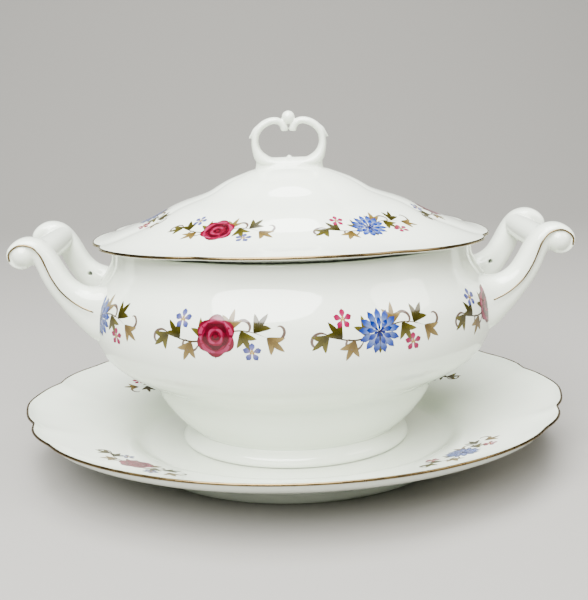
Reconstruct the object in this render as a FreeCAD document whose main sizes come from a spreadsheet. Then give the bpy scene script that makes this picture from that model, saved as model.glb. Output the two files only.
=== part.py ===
import FreeCAD
import Part

import math
import os

import Sketcher
from FreeCAD import Placement, Rotation, Vector

# Oval porcelain soup tureen: a footed bowl with two bracket handles, a lid with a loop finial, and an underplate.
# Frame: +X from handle to handle, +Z up, -Y the front, origin on the table under the middle of the underplate.
# Lengths are in millimetres. Every level is measured from the table. "Half length" is the half length of an
# oval along X; its half width along Y is the half length times the ovality.

SIZES = {
    # the oval that every ring of the set shares
    "ovality": 0.8,
    # underplate
    "plate_half_length": 170.0,
    "plate_floor_level": 12.7,
    "plate_wall": 4.6,
    "plate_ring_half_length": 97.5,
    "plate_ring_top_level": 7.0,
    "plate_ring_width": 5.0,
    # bowl
    "belly_half_length": 125.5,
    "bowl_wall": 4.0,
    "bowl_floor_half_length": 61.0,
    "bowl_floor_level": 26.0,
    "foot_base_level": 13.0,
    "foot_top_level": 21.0,
    "foot_half_length": 72.5,
    "foot_ring_width": 6.0,
    # lid
    "lid_half_length": 121.0,
    "lid_wall": 3.5,
    "flange_half_length": 102.5,
    "flange_bottom_level": 134.0,
    "flange_top_level": 146.4,
    "flange_ring_width": 3.5,
    # loop finial
    "finial_base_level": 183.0,
    "finial_base_height": 8.5,
    "finial_base_half_length": 20.5,
    "finial_base_half_width": 8.0,
    "finial_arm_radius": 2.6,
    "finial_bead_radius": 4.7,
    "finial_bead_level": 214.7,
    "finial_curl_radius": 3.1,
    # bracket handles
    "arm_offset": 30.0,
    "crossbar_radius": 7.8,
    "scroll_radius": 9.0,
    "scroll_width": 17.5,
    "vent_radius": 1.3,
    "vent_depth": 6.0,
}

# Directions from +X, in degrees round the oval, where two lobes of an edge meet, with the depth of each notch.
BOWL_NOTCHES = ((16.0, 1.0), (63.0, 0.7))
PLATE_NOTCHES = ((15.5, 1.0), (32.0, 0.45), (60.0, 0.35))
NOTCH_SPREAD = 5.0
OUTLINE_POINTS = 96

# Profiles hold, for each level: the share of the half length, the level, and how deep the notches cut there.
BOWL_PROFILE = (
    (0.545, 21.0, 0.0),
    (0.538, 23.0, 0.0),
    (0.576, 27.2, 0.0),
    (0.630, 34.5, 0.0),
    (0.685, 44.0, 0.0),
    (0.722, 53.5, 0.0),
    (0.756, 57.8, 0.0),
    (0.815, 61.8, 0.0),
    (0.895, 67.8, 0.0),
    (0.955, 75.5, 0.0),
    (0.990, 86.0, 0.0),
    (1.000, 97.0, 0.0),
    (0.988, 109.0, 0.002),
    (0.949, 120.0, 0.006),
    (0.908, 127.5, 0.010),
    (0.891, 134.0, 0.011),
    (0.891, 142.9, 0.011),
)
LID_PROFILE = (
    (1.000, 143.2, 0.026),
    (0.994, 144.8, 0.026),
    (0.905, 147.3, 0.024),
    (0.784, 151.4, 0.022),
    (0.709, 155.3, 0.021),
    (0.648, 159.5, 0.020),
    (0.583, 163.7, 0.020),
    (0.529, 166.4, 0.020),
    (0.459, 169.0, 0.020),
    (0.405, 171.6, 0.020),
    (0.355, 175.0, 0.020),
    (0.302, 179.0, 0.018),
    (0.228, 182.9, 0.014),
    (0.150, 185.0, 0.008),
    (0.075, 186.0, 0.0),
)
LID_CAVITY_MOUTH = (
    (103.0, 142.2, 0.020),
    (101.0, 145.0, 0.020),
)
PLATE_PROFILE = (
    (0.560, 12.7, 0.0),
    (0.594, 14.9, 0.0),
    (0.626, 18.8, 0.001),
    (0.668, 22.2, 0.003),
    (0.735, 25.2, 0.007),
    (0.824, 28.6, 0.013),
    (0.906, 32.0, 0.019),
    (0.966, 35.6, 0.024),
    (0.984, 38.5, 0.025),
)

# One handle arm from its scroll to its root in the bowl: x, level, half thickness, half width.
ARM_STATIONS = (
    (161.0, 138.5, 6.0, 7.0),
    (160.2, 143.4, 6.4, 8.0),
    (154.0, 143.8, 7.2, 8.5),
    (147.0, 139.6, 8.2, 8.5),
    (142.0, 132.0, 8.5, 8.5),
    (137.2, 123.0, 8.9, 8.5),
    (130.5, 114.6, 10.8, 9.2),
    (120.5, 108.6, 14.8, 10.6),
    (108.0, 105.5, 19.0, 12.6),
)
SCROLL_CENTRE = (159.0, 141.8)
CROSSBAR_CENTRE = (148.5, 141.0)
VENT_CENTRE = (130.5, 118.4)
# One finial arm from its root in the base to its curl under the top bead: x, level, share of the arm radius.
FINIAL_STATIONS = (
    (17.5, 187.0, 1.4),
    (19.4, 193.5, 1.15),
    (20.2, 200.0, 1.0),
    (18.6, 206.4, 1.0),
    (14.0, 211.4, 0.95),
    (8.0, 213.2, 0.95),
    (3.6, 211.6, 0.95),
)

doc = FreeCAD.newDocument("SoupTureen")
sheet = doc.addObject("Spreadsheet::Sheet", "Sizes")
for row, (alias, value) in enumerate(SIZES.items(), start=1):
    sheet.set(f"A{row}", alias)
    sheet.set(f"B{row}", str(value))
    sheet.setAlias(f"B{row}", alias)
doc.recompute()


def add(kind, label):
    """A new object of this kind whose name and label are the same."""
    made = doc.addObject(kind, label)
    made.Label = label
    return made


def loft(label, sections):
    """A smooth closed solid through the sections."""
    made = add("Part::Loft", label)
    made.Sections = sections
    made.Solid = True
    made.Ruled = False
    return made


def cut(label, base, tool):
    """The base with the tool taken away."""
    made = add("Part::Cut", label)
    made.Base = base
    made.Tool = tool
    return made


def fuse(label, shapes):
    """All the shapes as one."""
    made = add("Part::MultiFuse", label)
    made.Shapes = shapes
    made.Refine = False
    return made


# --- lobed shells: the bowl, the lid and the underplate ---


def notch_share(angle, notches):
    """How deep in a notch this direction lies: 0 on a lobe, up to the depth of the notch."""
    degrees = math.degrees(angle) % 180.0
    folded = min(degrees, 180.0 - degrees)
    return sum(depth * math.exp(-(((folded - at) / NOTCH_SPREAD) ** 2)) for at, depth in notches)


def lobed_oval(label, half_length, level, notch_depth, notches):
    """A closed smooth wire: an oval whose edge dips at the notches. No primitive has this outline."""
    points = []
    for step in range(OUTLINE_POINTS):
        angle = 2.0 * math.pi * step / OUTLINE_POINTS
        reach = half_length * (1.0 - notch_depth * notch_share(angle, notches))
        points.append(Vector(reach * math.cos(angle), reach * sheet.ovality * math.sin(angle), level))
    curve = Part.BSplineCurve()
    curve.interpolate(Points=points, PeriodicFlag=True)
    outline = add("Part::Feature", label)
    outline.Shape = Part.Wire(curve.toShape())
    return outline


def lobed_solid(label, profile, notches):
    """The solid inside a stack of lobed ovals. The profile holds half length, level and notch depth."""
    return loft(label, [
        lobed_oval(f"{label}_{index}", *station, notches) for index, station in enumerate(profile)
    ])


def sized(profile, half_length):
    """The profile with its shares turned into half lengths."""
    return [(share * half_length, level, depth) for share, level, depth in profile]


def offset(profile, distance):
    """The profile moved square to itself, to the left of its run (towards the middle for a rising one)."""
    moved = []
    for index, (half_length, level, depth) in enumerate(profile):
        before = profile[max(index - 1, 0)]
        after = profile[min(index + 1, len(profile) - 1)]
        run = after[0] - before[0]
        rise = after[1] - before[1]
        length = math.hypot(run, rise)
        moved.append((half_length - distance * rise / length, level + distance * run / length, depth))
    return moved


# --- oval rings: the two foot rings and the lid's flange ---


def oval_sketch(body, name, level, half_length):
    """A sketch on the XY plane, raised to a level, with one ellipse bound to the sheet by two formulas."""
    sketch = body.newObject("Sketcher::SketchObject", name)
    plane = next(feature for feature in body.Origin.OriginFeatures if feature.Role == "XY_Plane")
    sketch.AttachmentSupport = [(plane, "")]
    sketch.MapMode = "FlatFace"
    sketch.setExpression(".AttachmentOffset.Base.z", level)
    centre = Vector(0, 0, 0)
    ellipse = sketch.addGeometry(Part.Ellipse(Vector(100, 0, 0), Vector(0, 80, 0), centre), False)
    sketch.exposeInternalGeometry(ellipse)
    sketch.addConstraint(Sketcher.Constraint("Coincident", ellipse, 3, -1, 1))
    sketch.addConstraint(Sketcher.Constraint("Horizontal", ellipse + 1))
    length = sketch.addConstraint(Sketcher.Constraint("Distance", ellipse + 1, 200.0))
    width = sketch.addConstraint(Sketcher.Constraint("Distance", ellipse + 2, 160.0))
    sketch.setExpression(f"Constraints[{length}]", f"2 * ({half_length})")
    sketch.setExpression(f"Constraints[{width}]", f"2 * ({half_length}) * Sizes.ovality")
    return sketch


def oval_ring(label, sections):
    """A ring lofted through ovals. Each section is a level, an outer and an inner half length, as formulas."""
    body = add("PartDesign::Body", label)
    for kind, column in (("AdditiveLoft", 1), ("SubtractiveLoft", 2)):
        sketches = [
            oval_sketch(body, f"{label}_{kind}_{index}", section[0], section[column])
            for index, section in enumerate(sections)
        ]
        doc.recompute()
        ring_loft = body.newObject(f"PartDesign::{kind}", f"{label}_{kind}")
        ring_loft.Profile = sketches[0]
        ring_loft.Sections = sketches[1:]
        ring_loft.Ruled = False
        body.Tip = ring_loft
        doc.recompute()
    return body


# --- handles and finial: lofts along a bent centre line ---


def cross_section(label, centre, direction, half_thickness, half_width, squareness):
    """A closed wire square to a direction in the XZ plane: round at squareness 2, boxier above it."""
    across = Vector(-direction.z, 0, direction.x)
    points = []
    for step in range(24):
        angle = 2.0 * math.pi * step / 24
        u = math.copysign(abs(math.cos(angle)) ** (2.0 / squareness), math.cos(angle))
        v = math.copysign(abs(math.sin(angle)) ** (2.0 / squareness), math.sin(angle))
        points.append(centre + across * (half_thickness * u) + Vector(0, half_width * v, 0))
    curve = Part.BSplineCurve()
    curve.interpolate(Points=points, PeriodicFlag=True)
    section = add("Part::Feature", label)
    section.Shape = Part.Wire(curve.toShape())
    return section


def bent_bar(label, stations, y, squareness):
    """A bar through stations of x, level, half thickness and half width, in the plane at y."""
    centres = [Vector(station[0], y, station[1]) for station in stations]
    sections = []
    for index, station in enumerate(stations):
        before = centres[max(index - 1, 0)]
        after = centres[min(index + 1, len(centres) - 1)]
        direction = (after - before).normalize()
        name = f"{label}_{index}"
        sections.append(cross_section(name, centres[index], direction, station[2], station[3], squareness))
    return loft(label, sections)


def mirrored(label, source, normal):
    """The source mirrored through the origin."""
    made = add("Part::Mirroring", label)
    made.Source = source
    made.Normal = normal
    return made


def cylinder_along_y(label, radius, length, x, y, level):
    """A cylinder centred on a point, with its axis along Y. Radius and length are formulas."""
    made = add("Part::Cylinder", label)
    made.setExpression("Radius", radius)
    made.setExpression("Height", length)
    doc.recompute()
    start = y - made.Height.Value / 2.0
    made.Placement = Placement(Vector(x, start, level), Rotation(Vector(1, 0, 0), -90))
    return made


def sphere(label, radius, x, level):
    """A ball in the XZ plane. Its radius is a formula."""
    made = add("Part::Sphere", label)
    made.setExpression("Radius", radius)
    made.Placement = Placement(Vector(x, 0, level), Rotation())
    return made


# Underplate: one lobed shell on an oval ring.
plate_inside = sized(PLATE_PROFILE, sheet.plate_half_length)
plate_outside = offset(plate_inside, -sheet.plate_wall)
floor_edge = (sheet.plate_ring_half_length + 4.0, sheet.plate_ring_top_level, 0.0)
rim = (sheet.plate_half_length, plate_inside[-1][1], plate_inside[-1][2])
plate_body = lobed_solid("plate_body", [floor_edge] + plate_outside[2:-1] + [rim], PLATE_NOTCHES)
above_rim = (plate_inside[-1][0] + 0.5, plate_inside[-1][1] + 2.0, plate_inside[-1][2])
plate_hollow = lobed_solid("plate_hollow", plate_inside + [above_rim], PLATE_NOTCHES)
underplate = cut("underplate", plate_body, plate_hollow)
underplate_foot_ring = oval_ring("underplate_foot_ring", (
    ("0", "Sizes.plate_ring_half_length", "Sizes.plate_ring_half_length - Sizes.plate_ring_width"),
    (
        "Sizes.plate_ring_top_level",
        "Sizes.plate_ring_half_length + 1",
        "Sizes.plate_ring_half_length - Sizes.plate_ring_width - 1",
    ),
))

# Bowl: the outside and the hollow are two stacks of the same outline, the hollow one wall thickness in.
bowl_outside = sized(BOWL_PROFILE, sheet.belly_half_length)
bowl_floor = (sheet.bowl_floor_half_length, sheet.bowl_floor_level, 0.0)
bowl_inside = [bowl_floor] + offset(bowl_outside, sheet.bowl_wall)[3:-1]
bowl_body = lobed_solid("bowl_body", bowl_outside, BOWL_NOTCHES)
above_mouth = (bowl_inside[-1][0], BOWL_PROFILE[-1][1] + 2.0, bowl_inside[-1][2])
bowl_hollow = lobed_solid("bowl_hollow", bowl_inside + [above_mouth], BOWL_NOTCHES)
tureen_bowl = cut("tureen_bowl", bowl_body, bowl_hollow)
tureen_foot_ring = oval_ring("tureen_foot_ring", (
    ("Sizes.foot_base_level", "Sizes.foot_half_length", "Sizes.foot_half_length - Sizes.foot_ring_width"),
    (
        "Sizes.foot_base_level + 4",
        "Sizes.foot_half_length - 1",
        "Sizes.foot_half_length - Sizes.foot_ring_width - 1.5",
    ),
    (
        "Sizes.foot_top_level",
        "Sizes.foot_half_length - 4.6",
        "Sizes.foot_half_length - Sizes.foot_ring_width - 4",
    ),
))

# Handles: two arms, the bar that joins them and a scroll on each, trimmed where they meet the bowl.
front_arm = bent_bar("front_arm", ARM_STATIONS, -sheet.arm_offset, 3.0)
scroll = cylinder_along_y(
    "front_scroll", "Sizes.scroll_radius", "Sizes.scroll_width", SCROLL_CENTRE[0], -sheet.arm_offset,
    SCROLL_CENTRE[1],
)
vent = cylinder_along_y(
    "front_vent", "Sizes.vent_radius", "Sizes.vent_depth", VENT_CENTRE[0], -sheet.arm_offset + 8.5,
    VENT_CENTRE[1],
)
crossbar = cylinder_along_y(
    "crossbar", "Sizes.crossbar_radius", "2 * Sizes.arm_offset", CROSSBAR_CENTRE[0], 0, CROSSBAR_CENTRE[1]
)
front_bracket = cut("front_bracket", fuse("front_scrolled_arm", [front_arm, scroll]), vent)
rear_bracket = mirrored("rear_bracket", front_bracket, Vector(0, 1, 0))
whole_handle = fuse("whole_handle", [front_bracket, rear_bracket, crossbar])
handle_right = cut("handle_right", whole_handle, bowl_body)
handle_left = mirrored("handle_left", handle_right, Vector(1, 0, 0))

# Lid: a domed shell with a ring under it that drops into the bowl's mouth.
lid_outside = sized(LID_PROFILE, sheet.lid_half_length)
lid_inside = offset(lid_outside, sheet.lid_wall)[3:]
lid_body = lobed_solid("lid_body", lid_outside, BOWL_NOTCHES)
lid_hollow = lobed_solid("lid_hollow", list(LID_CAVITY_MOUTH) + lid_inside, BOWL_NOTCHES)
lid_dome = cut("lid_dome", lid_body, lid_hollow)
flange_ring = oval_ring("flange_ring", (
    (
        "Sizes.flange_bottom_level",
        "Sizes.flange_half_length - 1",
        "Sizes.flange_half_length - Sizes.flange_ring_width",
    ),
    (
        "Sizes.flange_top_level",
        "Sizes.flange_half_length",
        "Sizes.flange_half_length - Sizes.flange_ring_width",
    ),
))
lid_locating_flange = cut("lid_locating_flange", flange_ring, lid_dome)

# Finial: two bent arms on an oval base, a bead and two curls at the top, a leaf tip on each side.
base_half_length = sheet.finial_base_half_length
base_levels = (sheet.finial_base_level, sheet.finial_base_level + sheet.finial_base_height)
finial_base = loft("finial_base", [
    cross_section(f"finial_base_{index}", Vector(0, 0, level), Vector(0, 0, 1), half_length, half_width, 2.0)
    for index, (level, half_length, half_width) in enumerate((
        (base_levels[0], base_half_length + 1.0, sheet.finial_base_half_width + 2.0),
        (sum(base_levels) / 2.0, base_half_length - 0.5, sheet.finial_base_half_width),
        (base_levels[1], base_half_length - 2.0, sheet.finial_base_half_width - 3.0),
    ))
])
arm_radius = sheet.finial_arm_radius
finial_arm = bent_bar("finial_arm", [
    (x, level, share * arm_radius, share * arm_radius * 1.3) for x, level, share in FINIAL_STATIONS
], 0.0, 2.0)
leaf_tip = add("Part::Cone", "leaf_tip")
leaf_tip.Radius1 = arm_radius
leaf_tip.Radius2 = 0.4
leaf_tip.Height = 5.0
leaf_tip.Placement = Placement(Vector(19.2, 0, 201.5), Rotation(Vector(0, 1, 0), 60))
curl = sphere("curl", "Sizes.finial_curl_radius", 3.1, 209.2)
bead = sphere("bead", "Sizes.finial_bead_radius", 0.0, sheet.finial_bead_level)
finial_side = fuse("finial_side", [finial_arm, leaf_tip, curl])
other_side = mirrored("other_side", finial_side, Vector(1, 0, 0))
whole_finial = fuse("whole_finial", [finial_base, finial_side, other_side, bead])
lid_finial = cut("lid_finial", whole_finial, lid_body)

doc.recompute()
NODES = (
    underplate, underplate_foot_ring, tureen_bowl, tureen_foot_ring, handle_left, handle_right, lid_dome,
    lid_locating_flange, lid_finial,
)
for item in doc.Objects:
    if {"Invalid", "Error"} & set(item.State):
        raise RuntimeError(f"{item.Label} did not recompute")
os.makedirs("parts", exist_ok=True)
for node in NODES:
    if not node.Shape.isValid() or len(node.Shape.Solids) != 1:
        raise RuntimeError(f"{node.Label} is not one valid solid")
    node.Shape.exportStep(os.path.join("parts", f"{node.Label}.step"))
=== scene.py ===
import math

import bmesh
import bpy
from mathutils import Matrix, Vector
from mathutils.bvhtree import BVHTree


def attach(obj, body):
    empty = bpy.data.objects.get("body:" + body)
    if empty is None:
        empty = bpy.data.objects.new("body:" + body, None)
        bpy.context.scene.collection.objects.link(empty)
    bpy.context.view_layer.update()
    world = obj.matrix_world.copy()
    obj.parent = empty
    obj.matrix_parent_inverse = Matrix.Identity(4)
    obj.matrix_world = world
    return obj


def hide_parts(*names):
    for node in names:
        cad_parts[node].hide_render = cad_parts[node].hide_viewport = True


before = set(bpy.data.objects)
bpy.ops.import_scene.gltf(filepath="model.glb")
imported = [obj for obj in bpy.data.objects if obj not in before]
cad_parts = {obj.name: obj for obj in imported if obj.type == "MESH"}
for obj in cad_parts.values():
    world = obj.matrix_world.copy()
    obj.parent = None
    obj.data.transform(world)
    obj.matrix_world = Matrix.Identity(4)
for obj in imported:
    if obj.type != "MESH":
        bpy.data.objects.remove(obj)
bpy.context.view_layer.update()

MM = 0.001

# --- Table, light and camera --------------------------------------------------------------------
# The set stands on a pale matt table that curves up into a backdrop. A large window-like lamp lights it
# from the front left, a soft lamp hangs overhead, and a weaker one fills in from the right.


def linear(hex_colour):
    """An sRGB hex colour as linear RGBA."""
    channels = [int(hex_colour[start:start + 2], 16) / 255 for start in (1, 3, 5)]
    return tuple(c / 12.92 if c <= 0.04045 else ((c + 0.055) / 1.055) ** 2.4 for c in channels) + (1.0,)


def new_material(name):
    """A material with an empty node tree: its node tree, its Principled shader and itself."""
    material = bpy.data.materials.new(name)
    material.use_nodes = True
    tree = material.node_tree
    return material, tree, tree.nodes["Principled BSDF"]


def add_node(tree, kind, settings=(), **links):
    """Adds a node. Settings are (name, value) pairs; a link gives a socket by name, a value or an output."""
    node = tree.nodes.new(kind)
    for name, value in settings:
        setattr(node, name, value)
    for name, value in links.items():
        socket = node.inputs[int(name[1:])] if name[0] == "i" and name[1:].isdigit() else None
        socket = socket or node.inputs[name.replace("_", " ")]
        if isinstance(value, bpy.types.NodeSocket):
            tree.links.new(value, socket)
        else:
            socket.default_value = value
    return node


def finish_piece(name, bm, material, body, replaced=()):
    """Turns a bmesh in millimetres into a finished piece that rides on a body."""
    bmesh.ops.scale(bm, vec=(MM, MM, MM), verts=bm.verts)
    mesh = bpy.data.meshes.new(name)
    bm.to_mesh(mesh)
    bm.free()
    piece = bpy.data.objects.new(name, mesh)
    bpy.context.scene.collection.objects.link(piece)
    for polygon in mesh.polygons:
        polygon.use_smooth = True
    mesh.materials.append(material)
    if body:
        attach(piece, body)
    if replaced:
        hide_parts(*replaced)
    return piece


# the table's half size, where its middle lies and how wide it curves up, in millimetres
TABLE_REACH = 3000
TABLE_MIDDLE = (0, -1200, 0)
BACKDROP_CURVE = 900

# Matt emulsion paint on board: a plain grey with no gloss.
table_paint, tree, shader = new_material("matt_table_paint")
shader.inputs["Base Color"].default_value = linear("#86847f")
shader.inputs["Roughness"].default_value = 0.85
table = bmesh.new()
bmesh.ops.create_grid(table, x_segments=1, y_segments=1, size=TABLE_REACH)
far_edge = [edge for edge in table.edges if all(vert.co.y > 0 for vert in edge.verts)]
raised = bmesh.ops.extrude_edge_only(table, edges=far_edge)["geom"]
top_corners = [item for item in raised if isinstance(item, bmesh.types.BMVert)]
bmesh.ops.translate(table, vec=(0, 0, TABLE_REACH), verts=top_corners)
bmesh.ops.bevel(
    table, geom=far_edge, offset=BACKDROP_CURVE, segments=16, affect="EDGES", profile=0.5, material=-1
)
bmesh.ops.translate(table, vec=TABLE_MIDDLE, verts=table.verts)
finish_piece("table", table, table_paint, None)


LAMP_AIM = Vector((0, 0, 0.1))


def area_lamp(name, place, size, power, colour):
    """A round lamp at a place in metres, aimed at the tureen."""
    lamp = bpy.data.lights.new(name, "AREA")
    lamp.shape = "DISK"
    lamp.size = size
    lamp.energy = power
    lamp.color = linear(colour)[:3]
    holder = bpy.data.objects.new(name, lamp)
    holder.location = place
    holder.rotation_euler = (LAMP_AIM - Vector(place)).to_track_quat("-Z", "Y").to_euler()
    bpy.context.scene.collection.objects.link(holder)


area_lamp("window_lamp", (-0.35, -1.0, 1.4), 1.6, 150, "#ffffff")
area_lamp("fill_lamp", (1.4, -0.7, 1.2), 0.9, 18, "#fff8f0")
area_lamp("top_lamp", (0.0, -0.1, 1.9), 1.2, 75, "#fbfdff")
world = bpy.data.worlds.new("studio")
world.use_nodes = True
background = world.node_tree.nodes["Background"]
background.inputs["Color"].default_value = linear("#dbe6da")
background.inputs["Strength"].default_value = 0.16
bpy.context.scene.world = world

# in metres, radians and, for the lens, millimetres
CAMERA_PLACE = (0.0007, -0.550, 0.2385)
CAMERA_PITCH = 0.2435
CAMERA_ROLL = 0.0255
CAMERA_TURN = 0.0235
CAMERA_LENS = 53.76
camera = bpy.data.objects.new("camera", bpy.data.cameras.new("camera"))
camera.data.lens = CAMERA_LENS
camera.matrix_world = (
    Matrix.Rotation(-CAMERA_TURN, 4, "Z")
    @ Matrix.Translation(CAMERA_PLACE)
    @ Matrix.Rotation(math.pi / 2 - CAMERA_PITCH, 4, "X")
    @ Matrix.Rotation(-CAMERA_ROLL, 4, "Z")
)
bpy.context.scene.collection.objects.link(camera)
bpy.context.scene.camera = camera

# --- Underplate ---------------------------------------------------------------------------------
# One oval porcelain platter with a flat well, a broad ogee border and a thin upturned edge that is
# lobed all round. It is pressed in a mould with its foot ring, glazed all over and fired.

# how deep each oval is for its length, and how finely a shell is divided round and along its profile
OVALITY = 0.8
SPIN_STEPS = 180
PROFILE_CUTS = 2


def smooth_line(points, cuts):
    """A smooth line through the given points (a Catmull-Rom curve), with cuts more points in each gap."""
    ends = [2 * Vector(points[0]) - Vector(points[1])] + [Vector(point) for point in points]
    ends.append(2 * Vector(points[-1]) - Vector(points[-2]))
    line = []
    for before, start, end, after in zip(ends, ends[1:], ends[2:], ends[3:]):
        for cut in range(cuts + 1):
            share = cut / (cuts + 1)
            line.append(
                start
                + (end - before) * (share / 2)
                + (before * 2 - start * 5 + end * 4 - after) * (share ** 2 / 2)
                + (start * 3 - before - end * 3 + after) * (share ** 3 / 2)
            )
    return line + [Vector(points[-1])]


def spun_shell(profile):
    """A shell of revolution about Z from a profile of (radius, level), with smooth rows between its points.
    A profile that doesn't meet itself or the axis leaves its ends open, hidden in the piece it joins."""
    bm = bmesh.new()
    line = smooth_line(profile, PROFILE_CUTS)
    verts = [bm.verts.new((max(point[0], 0), 0, point[1])) for point in line]
    edges = [bm.edges.new(pair) for pair in zip(verts, verts[1:])]
    bmesh.ops.spin(
        bm, geom=verts + edges, axis=(0, 0, 1), cent=(0, 0, 0),
        angle=math.tau, steps=SPIN_STEPS, use_merge=True,
    )
    bmesh.ops.remove_doubles(bm, verts=bm.verts, dist=1e-4)
    bmesh.ops.recalc_face_normals(bm, faces=bm.faces)
    return bm


def ramp(value, low, high):
    """A smooth step from 0 at low to 1 at high."""
    share = min(max((value - low) / (high - low), 0), 1)
    return share * share * (3 - 2 * share)


def folded(angle):
    """The angle from the nearer end of the X axis, 0 to 90 degrees."""
    degrees = abs(math.degrees(angle)) % 180
    return min(degrees, 180 - degrees)


NOTCH_SOFTNESS = 1.2


def notch(degrees, at, width):
    """A soft-bottomed cusp: 1 at the notch, falling off on both sides."""
    return math.exp(-(math.hypot(degrees - at, NOTCH_SOFTNESS) - NOTCH_SOFTNESS) / width)


def shape_oval(bm, lobes):
    """Squeezes a round shell to the oval and moves its points by lobes(radius, degrees, level)."""
    for vert in bm.verts:
        radius = math.hypot(vert.co.x, vert.co.y)
        if radius > 1e-6:
            angle = math.atan2(vert.co.y, vert.co.x)
            reach, rise = lobes(radius, folded(angle), vert.co.z)
            vert.co.x *= reach
            vert.co.y *= reach
            vert.co.z += rise
    bmesh.ops.scale(bm, vec=(1, OVALITY, 1), verts=bm.verts)


def plate_lobes(radius, degrees, level):
    """The edge has a pointed bracket at each end and shallow notches round the sides."""
    share = ramp(radius, 104, 170)
    side_notch = notch(degrees, 60, 6)
    notches = 0.022 * notch(degrees, 16, 3.2) + 0.010 * notch(degrees, 32, 4) + 0.012 * side_notch
    tip = 0.010 * math.exp(-((degrees / 6) ** 2))
    side = math.sin(math.radians(degrees)) ** 2
    return 1 + share * (tip - notches), share * (1.2 * side - 0.8 * side_notch)


# Glazed hard porcelain: white body under clear glassy glaze, so it shows sharp lamp reflections with a faint
# ripple, a slightly cooler tone where the glaze lies thick, and a rare speck of iron fired into it.
porcelain, tree, shader = new_material("glazed_porcelain")
shader.inputs["Roughness"].default_value = 0.06
shader.inputs["IOR"].default_value = 1.52
shader.inputs["Coat Weight"].default_value = 0.3
shader.inputs["Coat Roughness"].default_value = 0.03
place = add_node(tree, "ShaderNodeTexCoord").outputs["Object"]
# the glaze pools over about 30 mm; its ripple is about 12 mm from crest to crest
pooling = add_node(tree, "ShaderNodeTexNoise", Vector=place, Scale=33.0, Detail=3.0).outputs["Fac"]
tone = add_node(
    tree, "ShaderNodeMix", [("data_type", "RGBA")], i0=pooling, i6=linear("#e0e6d8"), i7=linear("#d6decf")
).outputs[2]
# specks up to 0.45 mm across, at most one in each 25 mm cell of the glaze's space, so few meet the skin
specks = add_node(tree, "ShaderNodeTexVoronoi", Vector=place, Scale=40.0).outputs["Distance"]
speck = add_node(tree, "ShaderNodeMath", [("operation", "LESS_THAN")], i0=specks, i1=0.009).outputs[0]
faint = add_node(tree, "ShaderNodeMath", [("operation", "MULTIPLY")], i0=speck, i1=0.5).outputs[0]
colour = add_node(
    tree, "ShaderNodeMix", [("data_type", "RGBA")], i0=faint, i6=tone, i7=linear("#6e6052")
).outputs[2]
tree.links.new(colour, shader.inputs["Base Color"])
ripple = add_node(tree, "ShaderNodeTexNoise", Vector=place, Scale=80.0, Detail=1.0).outputs["Fac"]
bump = add_node(tree, "ShaderNodeBump", Strength=0.25, Distance=0.0002, Height=ripple).outputs["Normal"]
tree.links.new(bump, shader.inputs["Normal"])

# The foot faces are ground flat after firing: bare, matt, slightly grey and gritty white body.
ground_body, tree, shader = new_material("ground_unglazed_porcelain")
shader.inputs["Roughness"].default_value = 0.75
place = add_node(tree, "ShaderNodeTexCoord").outputs["Object"]
# grit is about 0.3 mm; drawn at 1 mm so that it shows
grit = add_node(tree, "ShaderNodeTexNoise", Vector=place, Scale=1000.0, Detail=2.0).outputs["Fac"]
colour = add_node(
    tree, "ShaderNodeMix", [("data_type", "RGBA")], i0=grit, i6=linear("#dcd8cd"), i7=linear("#c6c0b2")
).outputs[2]
tree.links.new(colour, shader.inputs["Base Color"])

# Burnished gilding: a thin fired film of gold, metallic and browned by age, paler and duller where worn.
gilt, tree, shader = new_material("burnished_gilding")
shader.inputs["Metallic"].default_value = 1.0
place = add_node(tree, "ShaderNodeTexCoord").outputs["Object"]
# wear comes and goes over about 8 mm
wear = add_node(tree, "ShaderNodeTexNoise", Vector=place, Scale=120.0, Detail=3.0).outputs["Fac"]
colour = add_node(
    tree, "ShaderNodeMix", [("data_type", "RGBA")], i0=wear, i6=linear("#4c3e2a"), i7=linear("#8e7a54")
).outputs[2]
tree.links.new(colour, shader.inputs["Base Color"])
dulling = add_node(tree, "ShaderNodeMapRange", Value=wear, To_Min=0.16, To_Max=0.4).outputs["Result"]
tree.links.new(dulling, shader.inputs["Roughness"])

PLATE_UNDERSIDE = [
    (0, 7.2), (50, 7.2), (90, 7.0), (101.5, 7.6), (106, 10.5), (110.5, 15), (120, 19.6), (140, 24.4),
    (155, 28.4), (164.5, 33), (169, 37.2),
]
PLATE_TOP = [
    (170.3, 38.6), (169.7, 39.4), (168.4, 38.6), (164, 35.6), (154, 32), (140, 28.6), (125, 25.2), (113, 22),
    (106, 18.6), (101, 15), (97, 13.2), (91, 12.6), (60, 12.6), (0, 12.6),
]
plate = spun_shell(PLATE_UNDERSIDE + PLATE_TOP)
shape_oval(plate, plate_lobes)
plate_surface = BVHTree.FromBMesh(plate)
finish_piece("underplate", plate, porcelain, "underplate", ["underplate"])
plate_edge = spun_shell([
    (169.5, 38.8), (169.1, 39.2), (169.5, 39.55), (170.1, 39.4), (170.45, 38.9), (170.5, 38.4), (170.2, 38.2),
    (169.5, 38.8),
])
shape_oval(plate_edge, plate_lobes)
finish_piece("underplate_gilt_line", plate_edge, gilt, "underplate")


def grind_foot(piece, level):
    """Bares the faces that lie wholly below a level in millimetres."""
    mesh = piece.data
    mesh.materials.append(ground_body)
    for polygon in mesh.polygons:
        if all(mesh.vertices[index].co.z < level * MM for index in polygon.vertices):
            polygon.material_index = 1


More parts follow.
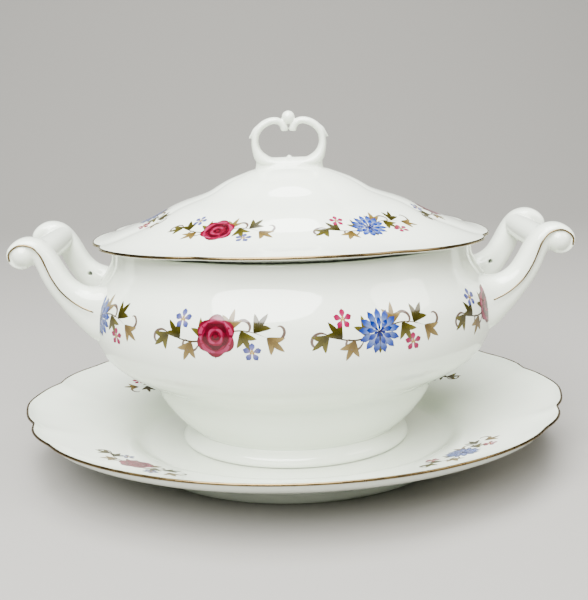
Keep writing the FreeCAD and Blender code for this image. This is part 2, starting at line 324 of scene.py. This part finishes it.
PLATE_GROUND_LEVEL = 0.3
plate_ring = spun_shell([
    (91.5, 7.6), (92.4, 3), (93.2, 0.7), (94.2, 0.12), (95.4, 0), (96.6, 0.12), (97.6, 0.7), (98.4, 2.5),
    (99, 5), (101.5, 7.9),
])
shape_oval(plate_ring, lambda radius, degrees, level: (1, 0))
grind_foot(finish_piece(
    "underplate_foot_ring", plate_ring, porcelain, "underplate", ["underplate_foot_ring"]
), PLATE_GROUND_LEVEL)

# --- Tureen bowl --------------------------------------------------------------------------------
# The oval bowl stands on a flared foot, swells to a broad belly and draws in to an upright neck. It is
# slip cast in a plaster mould, glazed inside and out, and its foot face is ground bare.


def bowl_lobes(radius, degrees, level):
    """The neck and shoulder are faintly lobed; the lobes die out at the belly."""
    share = ramp(level, 100, 134)
    return 1 - share * (0.016 * notch(degrees, 16, 3.2) + 0.010 * notch(degrees, 63, 4)), 0


BOWL_OUTSIDE = [
    (0, 21.4), (55, 21.4), (63, 21.5), (66.3, 22.4), (68.2, 24.4), (72, 27.6), (78.5, 34.5), (85.3, 44.5),
    (89.3, 53), (93.3, 57.6), (101, 61.9), (111, 67.8), (117, 73), (121.5, 80), (124.6, 88.5), (125.5, 98),
    (123.8, 111), (118.4, 121), (113.6, 128), (111.3, 133.5), (110.9, 139), (110.6, 142.2),
]
BOWL_INSIDE = [
    (109.2, 142.9), (107.4, 142.4), (106.9, 139), (107.2, 134), (109.6, 126), (114.4, 119), (119.8, 109),
    (121.5, 98), (120.6, 89), (117.8, 81.6), (113.6, 75.6), (107.6, 70.6), (99, 66), (91, 62), (85.8, 56),
    (81.5, 46), (74.5, 36.5), (67, 29.5), (60, 26.6), (50, 26), (0, 26),
]
bowl = spun_shell(BOWL_OUTSIDE + BOWL_INSIDE)
shape_oval(bowl, bowl_lobes)
bowl_surface = BVHTree.FromBMesh(bowl)
finish_piece("tureen_bowl", bowl, porcelain, "tureen", ["tureen_bowl"])
BOWL_GROUND_LEVEL = 13.3
foot = spun_shell([
    (61, 22), (63.5, 18), (66, 14.4), (67.6, 13), (70.4, 13), (72, 13.3), (73, 14.6), (72.9, 16.2),
    (71.7, 18.4),
    (69.6, 20.2), (67.6, 21.6), (66.2, 22.8),
])
shape_oval(foot, bowl_lobes)
grind_foot(finish_piece(
    "tureen_foot_ring", foot, porcelain, "tureen", ["tureen_foot_ring"]
), BOWL_GROUND_LEVEL)

# --- Handles ------------------------------------------------------------------------------------
# Each handle is two S-shaped arms joined by a round bar, with a scroll and its ball on the outer side
# of each corner. It is slip cast in one piece and luted to the bowl while both are damp; a small hole
# on the inner side of each arm lets the hollow casting breathe in the kiln.

# how far each arm's middle lies in front of or behind the set's middle
ARM_PLANE = 30
# the ball in a scroll: its place along X and up, and its radii
SCROLL = (156.9, 142.9)
SCROLL_RADII = (7.9, 8.4, 7.8)
# the grip bar and the vents, by their places along X and up
BAR = (148.3, 141.2)
BAR_RADIUS = 8.0
VENT = (130.5, 118.4)
VENT_RADIUS = 1.6
VENT_DEPTH = 16
# points round an arm and round its gilt line
ARM_CORNERS = 40
GILT_CORNERS = 8
# x, level, half thickness, half width, where the ridge lies across the thickness (-1 to 1), step below it
ARM_STATIONS = [
    (104, 104.0, 20, 13.0, 0.10, 0.0), (112, 105.2, 18, 11.8, 0.10, 0.3),
    (118, 107.4, 15.4, 10.7, 0.06, 0.8), (125.1, 111.0, 11.6, 9.6, 0.04, 1.2),
    (131.3, 115.8, 9.1, 9.0, 0.02, 1.5), (136.4, 121.5, 8.0, 8.7, 0.0, 1.7),
    (140.6, 128.7, 7.6, 8.6, 0.0, 1.8), (143.8, 135.7, 7.2, 8.6, 0.05, 2.0),
    (147.5, 142.0, 6.7, 8.6, 0.2, 2.2), (151.6, 145.4, 6.2, 8.6, 0.32, 2.4),
    (157.2, 146.4, 5.3, 8.6, 0.38, 2.5), (162.2, 143.4, 4.3, 8.4, 0.42, 2.4),
    (162.5, 139.2, 3.5, 8.0, 0.5, 2.0), (158.9, 136.2, 2.8, 7.5, 0.6, 1.6),
    (154.6, 136.2, 2.1, 7.0, 0.6, 1.2),
]


def arm_frames(stations, rows):
    """Smooth stations along an arm, each with its centre and its direction square to the run, upwards."""
    line = smooth_line(stations, rows)
    frames = []
    for index, station in enumerate(line):
        run = Vector(line[min(index + 1, len(line) - 1)][:2]) - Vector(line[max(index - 1, 0)][:2])
        run.normalize()
        frames.append((Vector((station[0], station[1])), Vector((-run.y, run.x)), station))
    return frames


def sweep(bm, rings, corners):
    """Joins rings of points into a closed bar. Each ring is a list of that many points."""
    before = None
    for ring in rings:
        circle = bmesh.ops.create_circle(bm, segments=corners, radius=1)["verts"]
        for vert, point in zip(circle, ring):
            vert.co = point
        edges = list({edge for vert in circle for edge in vert.link_edges})
        if before:
            bmesh.ops.bridge_loops(bm, edges=before + edges)
        else:
            first = edges
        before = edges
    bmesh.ops.holes_fill(bm, edges=first + before, sides=0)
    bmesh.ops.recalc_face_normals(bm, faces=bm.faces)


def rounded(turn, squareness):
    """A point on a rounded square, for a turn in radians."""
    across, along = math.cos(turn), math.sin(turn)
    power = 2 / squareness
    return math.copysign(abs(across) ** power, across), math.copysign(abs(along) ** power, along)


def arm_ring(centre, normal, station):
    """One ring of an arm: round towards the grip, with a stepped ridge on the outer side."""
    thickness, width, ridge, step = station[2:]
    ring = []
    for corner in range(ARM_CORNERS):
        u, w = rounded(math.tau * corner / ARM_CORNERS, 2.7)
        if w > 0:
            w -= step / width * ramp(ridge - u, 0.0, 0.22) * ramp(w, 0.1, 0.6)
        ring.append(Vector((
            centre.x + normal.x * thickness * u, -(ARM_PLANE + width * w), centre.y + normal.y * thickness * u
        )))
    return ring


def solid_object(name, bm):
    """A bmesh in millimetres as an object that is only material to work with."""
    mesh = bpy.data.meshes.new(name)
    bm.to_mesh(mesh)
    bm.free()
    solid = bpy.data.objects.new(name, mesh)
    bpy.context.scene.collection.objects.link(solid)
    return solid


def worked(solid, modifiers):
    """The solid's bmesh after some modifiers; the solid is used up."""
    for kind, settings in modifiers:
        modifier = solid.modifiers.new(kind, kind)
        for name, value in settings.items():
            setattr(modifier, name, value)
    shaped = bpy.data.meshes.new_from_object(solid.evaluated_get(bpy.context.evaluated_depsgraph_get()))
    bm = bmesh.new()
    bm.from_mesh(shaped)
    bpy.data.meshes.remove(shaped)
    bpy.data.objects.remove(solid)
    return bm


def fused(name, bm, voxel, passes):
    """Overlapping closed forms pressed into one skin, with its joints softened as slip fills them."""
    skin = worked(solid_object(name, bm), [("REMESH", {"mode": "VOXEL", "voxel_size": voxel})])
    for _ in range(passes):
        bmesh.ops.smooth_vert(
            skin, verts=skin.verts, factor=0.5, use_axis_x=True, use_axis_y=True, use_axis_z=True
        )
    return skin


def bored(name, bm, tools):
    """The form with other solids cut out of it."""
    cuts = [("BOOLEAN", {"operation": "DIFFERENCE", "solver": "EXACT", "object": tool}) for tool in tools]
    return worked(solid_object(name, bm), cuts)


def add_ball(bm, place, radii, segments=32):
    """An ellipsoid with its poles along Y."""
    matrix = Matrix.Translation(place) @ Matrix.Diagonal((*radii, 1)) @ Matrix.Rotation(math.pi / 2, 4, "X")
    bmesh.ops.create_uvsphere(bm, u_segments=segments, v_segments=segments // 2, radius=1, matrix=matrix)


def add_rod(bm, place, radius, length):
    """A round rod along Y, centred on a place."""
    matrix = Matrix.Translation(place) @ Matrix.Rotation(math.pi / 2, 4, "X")
    bmesh.ops.create_cone(
        bm, cap_ends=True, segments=32, radius1=radius, radius2=radius, depth=length, matrix=matrix
    )


def mirror(bm, axis):
    """Adds the mirror image of all there is, across the set's middle along an axis."""
    bmesh.ops.mirror(bm, geom=bm.verts[:] + bm.edges[:] + bm.faces[:], axis=axis, merge_dist=-1)


handle = bmesh.new()
sweep(handle, [arm_ring(*frame_at) for frame_at in arm_frames(ARM_STATIONS, 3)], ARM_CORNERS)
add_ball(handle, (SCROLL[0], -(ARM_PLANE + 1.2), SCROLL[1] - 0.9), SCROLL_RADII)
mirror(handle, "Y")
add_rod(handle, (BAR[0], 0, BAR[1]), BAR_RADIUS, 2 * ARM_PLANE)
bmesh.ops.recalc_face_normals(handle, faces=handle.faces)
handle = fused("handle", handle, voxel=0.6, passes=6)

# the handle is cut off just inside the bowl's wall, and its arms are vented
INTO_WALL = 1.5
core = spun_shell(
    [(max(radius - INTO_WALL, 0), level) for radius, level in BOWL_OUTSIDE] + [(0, BOWL_OUTSIDE[-1][1])]
)
shape_oval(core, bowl_lobes)
vents = bmesh.new()
for side in (-1, 1):
    add_rod(vents, (VENT[0], side * (ARM_PLANE - 6), VENT[1]), VENT_RADIUS, VENT_DEPTH)
tools = [solid_object("core", core), solid_object("vents", vents)]
handle = bored("handle", handle, tools)
for tool in tools:
    bpy.data.objects.remove(tool)

left_handle = handle.copy()
bmesh.ops.scale(left_handle, vec=(-1, 1, 1), verts=left_handle.verts)
bmesh.ops.reverse_faces(left_handle, faces=left_handle.faces)
finish_piece("handle_right", handle, porcelain, "tureen", ["handle_right"])
finish_piece("handle_left", left_handle, porcelain, "tureen", ["handle_left"])


def gilt_ring(centre, normal, station):
    """One ring of the gilt bead that lies along an arm's ridge."""
    thickness, width, ridge, step = station[2:]
    across = math.sqrt(max(1 - ridge ** 2, 0)) ** 0.7
    ring = []
    for corner in range(GILT_CORNERS):
        turn = math.tau * corner / GILT_CORNERS
        along = thickness * ridge + 0.55 * math.cos(turn)
        out = width * across - 0.3 + 0.4 * math.sin(turn)
        ring.append(Vector((centre.x + normal.x * along, -(ARM_PLANE + out), centre.y + normal.y * along)))
    return ring


ridge_gilt = bmesh.new()
sweep(ridge_gilt, [gilt_ring(*frame_at) for frame_at in arm_frames(ARM_STATIONS[2:-2], 3)], GILT_CORNERS)
mirror(ridge_gilt, "Y")
mirror(ridge_gilt, "X")
bmesh.ops.recalc_face_normals(ridge_gilt, faces=ridge_gilt.faces)
finish_piece("handle_gilt_lines", ridge_gilt, gilt, "tureen")

# --- Lid ----------------------------------------------------------------------------------------
# A cast dome with six broad lobes and a turned-out edge. A low ring under it drops into the bowl's mouth
# and keeps it in place. Its edge carries a gilt line.


def lid_lobes(radius, degrees, level):
    """Creases run from the crown down to notches in the edge; the edge dips at the two ends."""
    share = ramp(radius, 12, 45)
    notches = 0.028 * notch(degrees, 16, 3.4) + 0.022 * notch(degrees, 63, 4.5)
    dip = ramp(radius, 95, 121) * (1.0 - 4.2 * math.cos(math.radians(degrees)) ** 2)
    return 1 - share * notches, dip


LID_OUTSIDE = [
    (0, 187.2), (10, 186.6), (21, 184.8), (29, 182.1), (37, 179), (43.5, 175.6), (49.5, 172), (56.5, 169.3),
    (65, 166.6), (72, 163.9), (79.5, 160), (87, 156.1), (96, 152.6), (104, 150.6), (111, 149.3), (117, 148.5),
    (121, 148),
]
LID_INSIDE = [
    (121.8, 146.9), (121, 146), (117, 145.3), (111, 144.2), (106, 143.2), (102, 143.4), (97, 146), (87, 152),
    (79, 156.2), (70, 160.6), (60, 164.2), (48, 168.6), (36, 175.6), (22, 181), (0, 183.2),
]
lid = spun_shell(LID_OUTSIDE + LID_INSIDE)
shape_oval(lid, lid_lobes)
lid_surface = BVHTree.FromBMesh(lid)
finish_piece("lid_dome", lid, porcelain, "lid", ["lid_dome"])
lid_edge = spun_shell([
    (121.1, 147.3), (121.1, 148.05), (121.6, 147.9), (121.95, 147.3), (122.05, 146.8), (121.8, 146.5),
    (121.1, 147.3),
])
shape_oval(lid_edge, lid_lobes)
finish_piece("lid_gilt_line", lid_edge, gilt, "lid")

flange = spun_shell([
    (101, 148), (102.5, 143.4), (102.3, 138), (101.8, 134.8), (100.9, 134), (99.6, 134.4), (99, 136),
    (98.6, 141), (97.2, 148),
])
shape_oval(flange, lid_lobes)
finish_piece("lid_locating_flange", flange, porcelain, "lid", ["lid_locating_flange"])

# --- Finial -------------------------------------------------------------------------------------
# The loop on top is cast in one piece and luted to the crown: two arms that rise from a swelling base,
# each in a leaf sheath with a free tip, and curl under one bead.

FINIAL_CORNERS = 20
BASE_CORNERS = 32
# x, level, half thickness in the loop's plane, half depth
FINIAL_ARM = [
    (-3, 189.2, 2.6, 6.0), (5, 188.4, 2.6, 6.6), (12, 188.7, 3.4, 6.8), (17.2, 191.4, 3.8, 6.2),
    (19.7, 196.2, 2.8, 5.2), (20.5, 201.2, 2.3, 4.6), (19.5, 206.2, 2.3, 4.5), (16.3, 210.4, 2.3, 4.3),
    (11.6, 213, 2.2, 4.1), (7.0, 213.4, 2.1, 3.8), (3.8, 211.4, 2.2, 3.4), (2.6, 208.8, 2.4, 3.2),
    (2.4, 207.2, 1.9, 2.6),
]
LEAF_SHEATH = [
    (15.0, 212.9, 0.9, 2.4), (19.6, 208.6, 1.5, 3.4), (21.6, 206.0, 1.2, 2.6), (23.2, 204.2, 0.6, 1.3),
    (24.1, 203.2, 0.3, 0.5),
]
# level, half length, half depth
BASE_RINGS = [
    (180.5, 23.0, 11.5), (183.5, 21.2, 9.4), (186.5, 20.5, 8.2), (189, 20.3, 7.0), (190.6, 18.5, 5.0),
    (191.6, 13, 2.4),
]


def finial_ring(centre, normal, station):
    """One oval ring of the loop."""
    ring = []
    for corner in range(FINIAL_CORNERS):
        u, w = rounded(math.tau * corner / FINIAL_CORNERS, 2.1)
        ring.append(Vector((
            centre.x + normal.x * station[2] * u, station[3] * w, centre.y + normal.y * station[2] * u
        )))
    return ring


def base_ring(level, length, depth):
    """One level oval ring of the swelling base."""
    turns = [math.tau * corner / BASE_CORNERS for corner in range(BASE_CORNERS)]
    return [Vector((length * math.cos(turn), depth * math.sin(turn), level)) for turn in turns]


finial = bmesh.new()
for stations in (FINIAL_ARM, LEAF_SHEATH):
    sweep(finial, [finial_ring(*frame_at) for frame_at in arm_frames(stations, 2)], FINIAL_CORNERS)
mirror(finial, "X")
sweep(finial, [base_ring(*ring) for ring in BASE_RINGS], BASE_CORNERS)
# the bead on top, and the small one on the base
add_ball(finial, (0, 0, 215.3), (4.0, 4.1, 4.0))
add_ball(finial, (0, 0, 190.8), (1.8, 2.6, 2.2), 16)
bmesh.ops.recalc_face_normals(finial, faces=finial.faces)
finial = fused("finial", finial, voxel=0.36, passes=5)
finish_piece("lid_finial", finial, porcelain, "lid", ["lid_finial"])

# --- Printed sprays -----------------------------------------------------------------------------
# Flower sprays, printed in ceramic colours on transfer paper, are cut out, slid on to the glazed ware and
# fired at low heat, so the colours stand a hair above the glaze. They are stock flowers, evenly spaced:
# eight sprays round the bowl, six round the lid and four on the underplate, blue and rose by turns.

# The colours of each kind of stroke run from its root to its tip, in equal shares.
TENDRIL = ("#7f6a60", "#978378", "#b0a092")
LEAF_COLOURS = (
    ("#46401c", "#6c652e", "#8f8848"),
    ("#38340f", "#544e20", "#6a632a"),
    ("#6e5832", "#9f8650", "#c8b07c"),
)
STEM = ("#46351c", "#66512e", "#857044")
BLUE = ("#eceefa", "#c3cdf2", "#8ea6e8", "#5069cc", "#2a3c9c")
DEEP_BLUE = ("#b4c0ee", "#7088dc", "#3a50b8", "#202e86")
BLUE_HEART = ("#25307f", "#3346a6")
LILAC = ("#cdb4d8", "#8a90d2", "#4a55a4")
PINK = ("#e58aa6", "#cf4674", "#b8275c")
YELLOW = ("#e8b860", "#f0cf80")
CRIMSON = ("#7a0c30", "#94143c", "#a2204a")
DARK_ROSE = ("#5c0420", "#6c0828")
ROSE_LIGHT = ("#c23a62", "#d8688c")


def around(centre, radius, degrees):
    """The point this far from a centre, in a direction turned from along the spray towards up."""
    angle = math.radians(degrees)
    return centre[0] + radius * math.cos(angle), centre[1] + radius * math.sin(angle)


# Each stroke: colours, half width, where along it is widest, and the points it runs through, in millimetres
# along and up from the middle of its spray.
def petals(colours, half_width, centre, count, inner, outer):
    """Straight petals, evenly spaced round a flower's heart."""
    angles = [90 + step * 360 / count for step in range(count)]
    return [
        (colours, half_width, 0.62, around(centre, inner, angle), around(centre, outer, angle))
        for angle in angles
    ]


def folds(colours, half_width, radius, count, start):
    """Petals folded round the middle of a rose: even arcs, each a little longer than its share."""
    reach = 360 / count * 0.6
    angles = [start + step * 360 / count for step in range(count)]
    return [
        (colours, half_width, 0.5, *(around((0, 0), radius, angle + turn) for turn in (-reach, 0, reach)))
        for angle in angles
    ]


def leaves(colours, root, heading, length):
    """Three leaves fanned from one point of a stem, the middle one the longest."""
    return [
        (colours, 1.6, 0.5, root, around(root, length * share * 0.5, heading + turn * 0.6),
         around(root, length * share, heading + turn))
        for turn, share in ((-38, 0.8), (38, 0.8), (0, 1))
    ]


def curl(start, heading, side):
    """A tendril that winds in, each step a fifth shorter than the last and turned as far again."""
    points = [start]
    for step in range(7):
        points.append(around(points[-1], 4.5 * 0.8 ** step, heading + side * 38 * step))
    return TENDRIL, 0.8, 0.4, *points


def spray(flower, blossom):
    """A flower on a waving stem, between even fans of leaves, two small blossoms and curling ends."""
    stem = [(along, 3.5 * math.sin(math.pi * along / 28)) for along in range(-28, 29, 7)]
    strokes = [curl(stem[-1], -20, 1), curl(stem[0], 160, 1), curl((9, 4), 55, -1), curl((-9, -4), 235, -1)]
    strokes.append((STEM, 0.5, 0.4, *stem))
    for place, root in enumerate(stem):
        side = 1 if place % 2 else -1
        colours = LEAF_COLOURS[place % len(LEAF_COLOURS)]
        strokes += leaves(colours, root, side * (90 - 1.8 * root[0]), 12)
    for centre in ((-20, 8), (20, -8)):
        strokes += petals(blossom, 1.6, centre, 5, 0.6, 5.2) + petals(YELLOW, 0.8, centre, 3, 0, 1.4)
    return strokes + flower


BLUE_FLOWER = [
    *petals(BLUE, 1.9, (0, 0), 13, 2.5, 12),
    *petals(DEEP_BLUE, 1.4, (0, 0), 9, 1.5, 7.5),
    *petals(BLUE_HEART, 0.7, (0, 0), 7, 0.3, 3.4),
]
ROSE = [
    *[(CRIMSON, 5.2, 0.5, around((0, 0), 9.5, angle), (0, 0), around((0, 0), 9.5, angle + 180))
      for angle in (0, 60, 120)],
    *folds(CRIMSON, 2.2, 9.2, 6, 90),
    *folds(ROSE_LIGHT, 1.1, 9.0, 5, 90),
    *folds(DARK_ROSE, 1.2, 6.2, 5, 54),
    *folds(ROSE_LIGHT, 0.8, 3.9, 4, 45),
    *folds(DARK_ROSE, 0.8, 1.8, 3, 90),
]
SPRAYS = (spray(BLUE_FLOWER, PINK), spray(ROSE, LILAC))


def blend(colours, share):
    """The colour this share of the way along a run of colours."""
    place = share * (len(colours) - 1)
    index = min(int(place), len(colours) - 2)
    start, end = Vector(linear(colours[index])), Vector(linear(colours[index + 1]))
    return start.lerp(end, place - index)


# how far the first stroke stands off the glaze, and each later one off the last, so that none coincide
FILM = 0.05
FILM_STEP = 0.0011
# how much of each colour's light the thin ink gives back, how much that varies, and how far from grey it is
INK_STRENGTH = 0.3
INK_VARIETY = 0.03
INK_SATURATION = 1.2


def print_stroke(bm, ink, stroke, lay, scale, order):
    """One brush-like stroke of the print: a strip laid on the ware, darker at its edges and vein."""
    colours, half_width, widest, *points = stroke
    line = smooth_line([Vector(point) for point in points], 3)
    rows = len(line) - 1
    skew = math.log(0.5) / math.log(widest)
    bluntness = 0.5 if half_width > 2.2 else 0.8
    strength = INK_STRENGTH + INK_VARIETY * math.sin(order * 2.4)
    grid = bmesh.ops.create_grid(bm, x_segments=rows, y_segments=4, size=1)["verts"]
    for vert in grid:
        row = round((vert.co.x + 1) / 2 * rows)
        across = vert.co.y
        run = line[min(row + 1, rows)] - line[max(row - 1, 0)]
        square = Vector((-run.y, run.x)).normalized()
        reach = half_width * max(math.sin(math.pi * (row / rows) ** skew), 0.02) ** bluntness
        spot = line[row] + square * (reach * across)
        tint = blend(colours, row / rows) * strength
        grey = (tint[0] + tint[1] + tint[2]) / 3
        tint = [max(grey + (channel - grey) * INK_SATURATION, 0) for channel in tint]
        depth = 1 - 0.28 * across ** 4 - 0.15 * (abs(across) < 0.1)
        vert[ink] = (tint[0] * depth, tint[1] * depth, tint[2] * depth, 1)
        vert.co = lay(spot.x * scale, spot.y * scale, FILM + FILM_STEP * order)


def printed(name, body, scale, lays):
    """One piece holding the sprays laid on one body, blue and rose by turns."""
    bm = bmesh.new()
    ink = bm.verts.layers.float_color.new("ink")
    for place, lay in enumerate(lays):
        for order, stroke in enumerate(SPRAYS[place % 2]):
            print_stroke(bm, ink, stroke, lay, scale, order)
    finish_piece(name, bm, ceramic_ink, body)


BELLY_HALF_LENGTH = 125.5
ROUND_STEPS = 720


def oval_angles(half_length):
    """How far round an oval each of many angles lies, from the middle of the front, in millimetres."""
    reached = [0.0]
    for step in range(ROUND_STEPS):
        angle = (step + 0.5) / ROUND_STEPS * math.pi
        pace = half_length * math.hypot(math.cos(angle), OVALITY * math.sin(angle))
        reached.append(reached[-1] + pace * math.pi / ROUND_STEPS)
    return reached


BELLY_ROUND = oval_angles(BELLY_HALF_LENGTH)


def belly_angle(distance):
    """The angle from the middle of the front, for a distance round the belly."""
    whole = 2 * BELLY_ROUND[-1]
    distance = (distance + whole / 2) % whole - whole / 2
    for step, reached in enumerate(BELLY_ROUND[1:], start=1):
        if reached >= abs(distance):
            share = step - (reached - abs(distance)) / (reached - BELLY_ROUND[step - 1])
            return math.copysign(share / (len(BELLY_ROUND) - 1) * math.pi, distance)
    return math.copysign(math.pi, distance)


# the level of the sprays on the bowl, and a radius and a height that clear everything, for looking from
PRINT_LEVEL = 106.5
OUTSIDE_ALL = 200
ABOVE_ALL = 300


def round_bowl(middle):
    """Lays a spray round the bowl, its middle at this distance from the middle of the front."""
    def lay(along, up, lift):
        angle = belly_angle(middle + along)
        level = PRINT_LEVEL + up
        start = Vector((OUTSIDE_ALL * math.sin(angle), -OUTSIDE_ALL * OVALITY * math.cos(angle), level))
        aim = Vector((-math.sin(angle), OVALITY * math.cos(angle), 0)).normalized()
        spot, normal, _, _ = bowl_surface.ray_cast(start, aim)
        return spot + normal * lift
    return lay


def round_top(surface, half_length, middle):
    """Lays a spray round a surface that faces up, on an oval of this half length, its middle at this
    angle in degrees from the front and its foot outwards."""
    mean_radius = half_length * (1 + OVALITY) / 2

    def lay(along, up, lift):
        angle = math.radians(middle) + along / mean_radius
        reach = half_length - up
        plan = Vector((reach * math.sin(angle), -reach * OVALITY * math.cos(angle), ABOVE_ALL))
        spot, normal, _, _ = surface.ray_cast(plan, Vector((0, 0, -1)))
        return spot + normal * lift
    return lay


# Ceramic printing ink fired on to the glaze: its colours melt in, so it has nearly the glaze's gloss, and
# the dots of the print make its tone slightly uneven.
ceramic_ink, tree, shader = new_material("fired_ceramic_print")
shader.inputs["Roughness"].default_value = 0.14
shader.inputs["IOR"].default_value = 1.52
ink_colour = add_node(tree, "ShaderNodeAttribute", [("attribute_name", "ink")]).outputs["Color"]
place = add_node(tree, "ShaderNodeTexCoord").outputs["Object"]
# real print dots are 0.2 mm; drawn at about 1 mm so that they show
dots = add_node(tree, "ShaderNodeTexNoise", Vector=place, Scale=1000.0, Detail=2.0).outputs["Fac"]
gain = add_node(tree, "ShaderNodeMapRange", Value=dots, To_Min=0.8, To_Max=1.2).outputs["Result"]
colour = add_node(
    tree, "ShaderNodeVectorMath", [("operation", "SCALE")], i0=ink_colour, Scale=gain
).outputs[0]
tree.links.new(colour, shader.inputs["Base Color"])

# how many sprays go round each piece, and the half length of the oval that they follow
BOWL_SPRAYS = 8
LID_SPRAYS = 6
LID_OVAL = 84
PLATE_SPRAYS = 4
PLATE_OVAL = 132
bowl_step = 2 * BELLY_ROUND[-1] / BOWL_SPRAYS
printed("tureen_print", "tureen", 1.0, [
    round_bowl((place + 0.5) * bowl_step) for place in range(BOWL_SPRAYS)
])
printed("lid_print", "lid", 0.8, [
    round_top(lid_surface, LID_OVAL, (place + 0.5) * 360 / LID_SPRAYS) for place in range(LID_SPRAYS)
])
printed("underplate_print", "underplate", 0.85, [
    round_top(plate_surface, PLATE_OVAL, (place + 0.5) * 360 / PLATE_SPRAYS) for place in range(PLATE_SPRAYS)
])
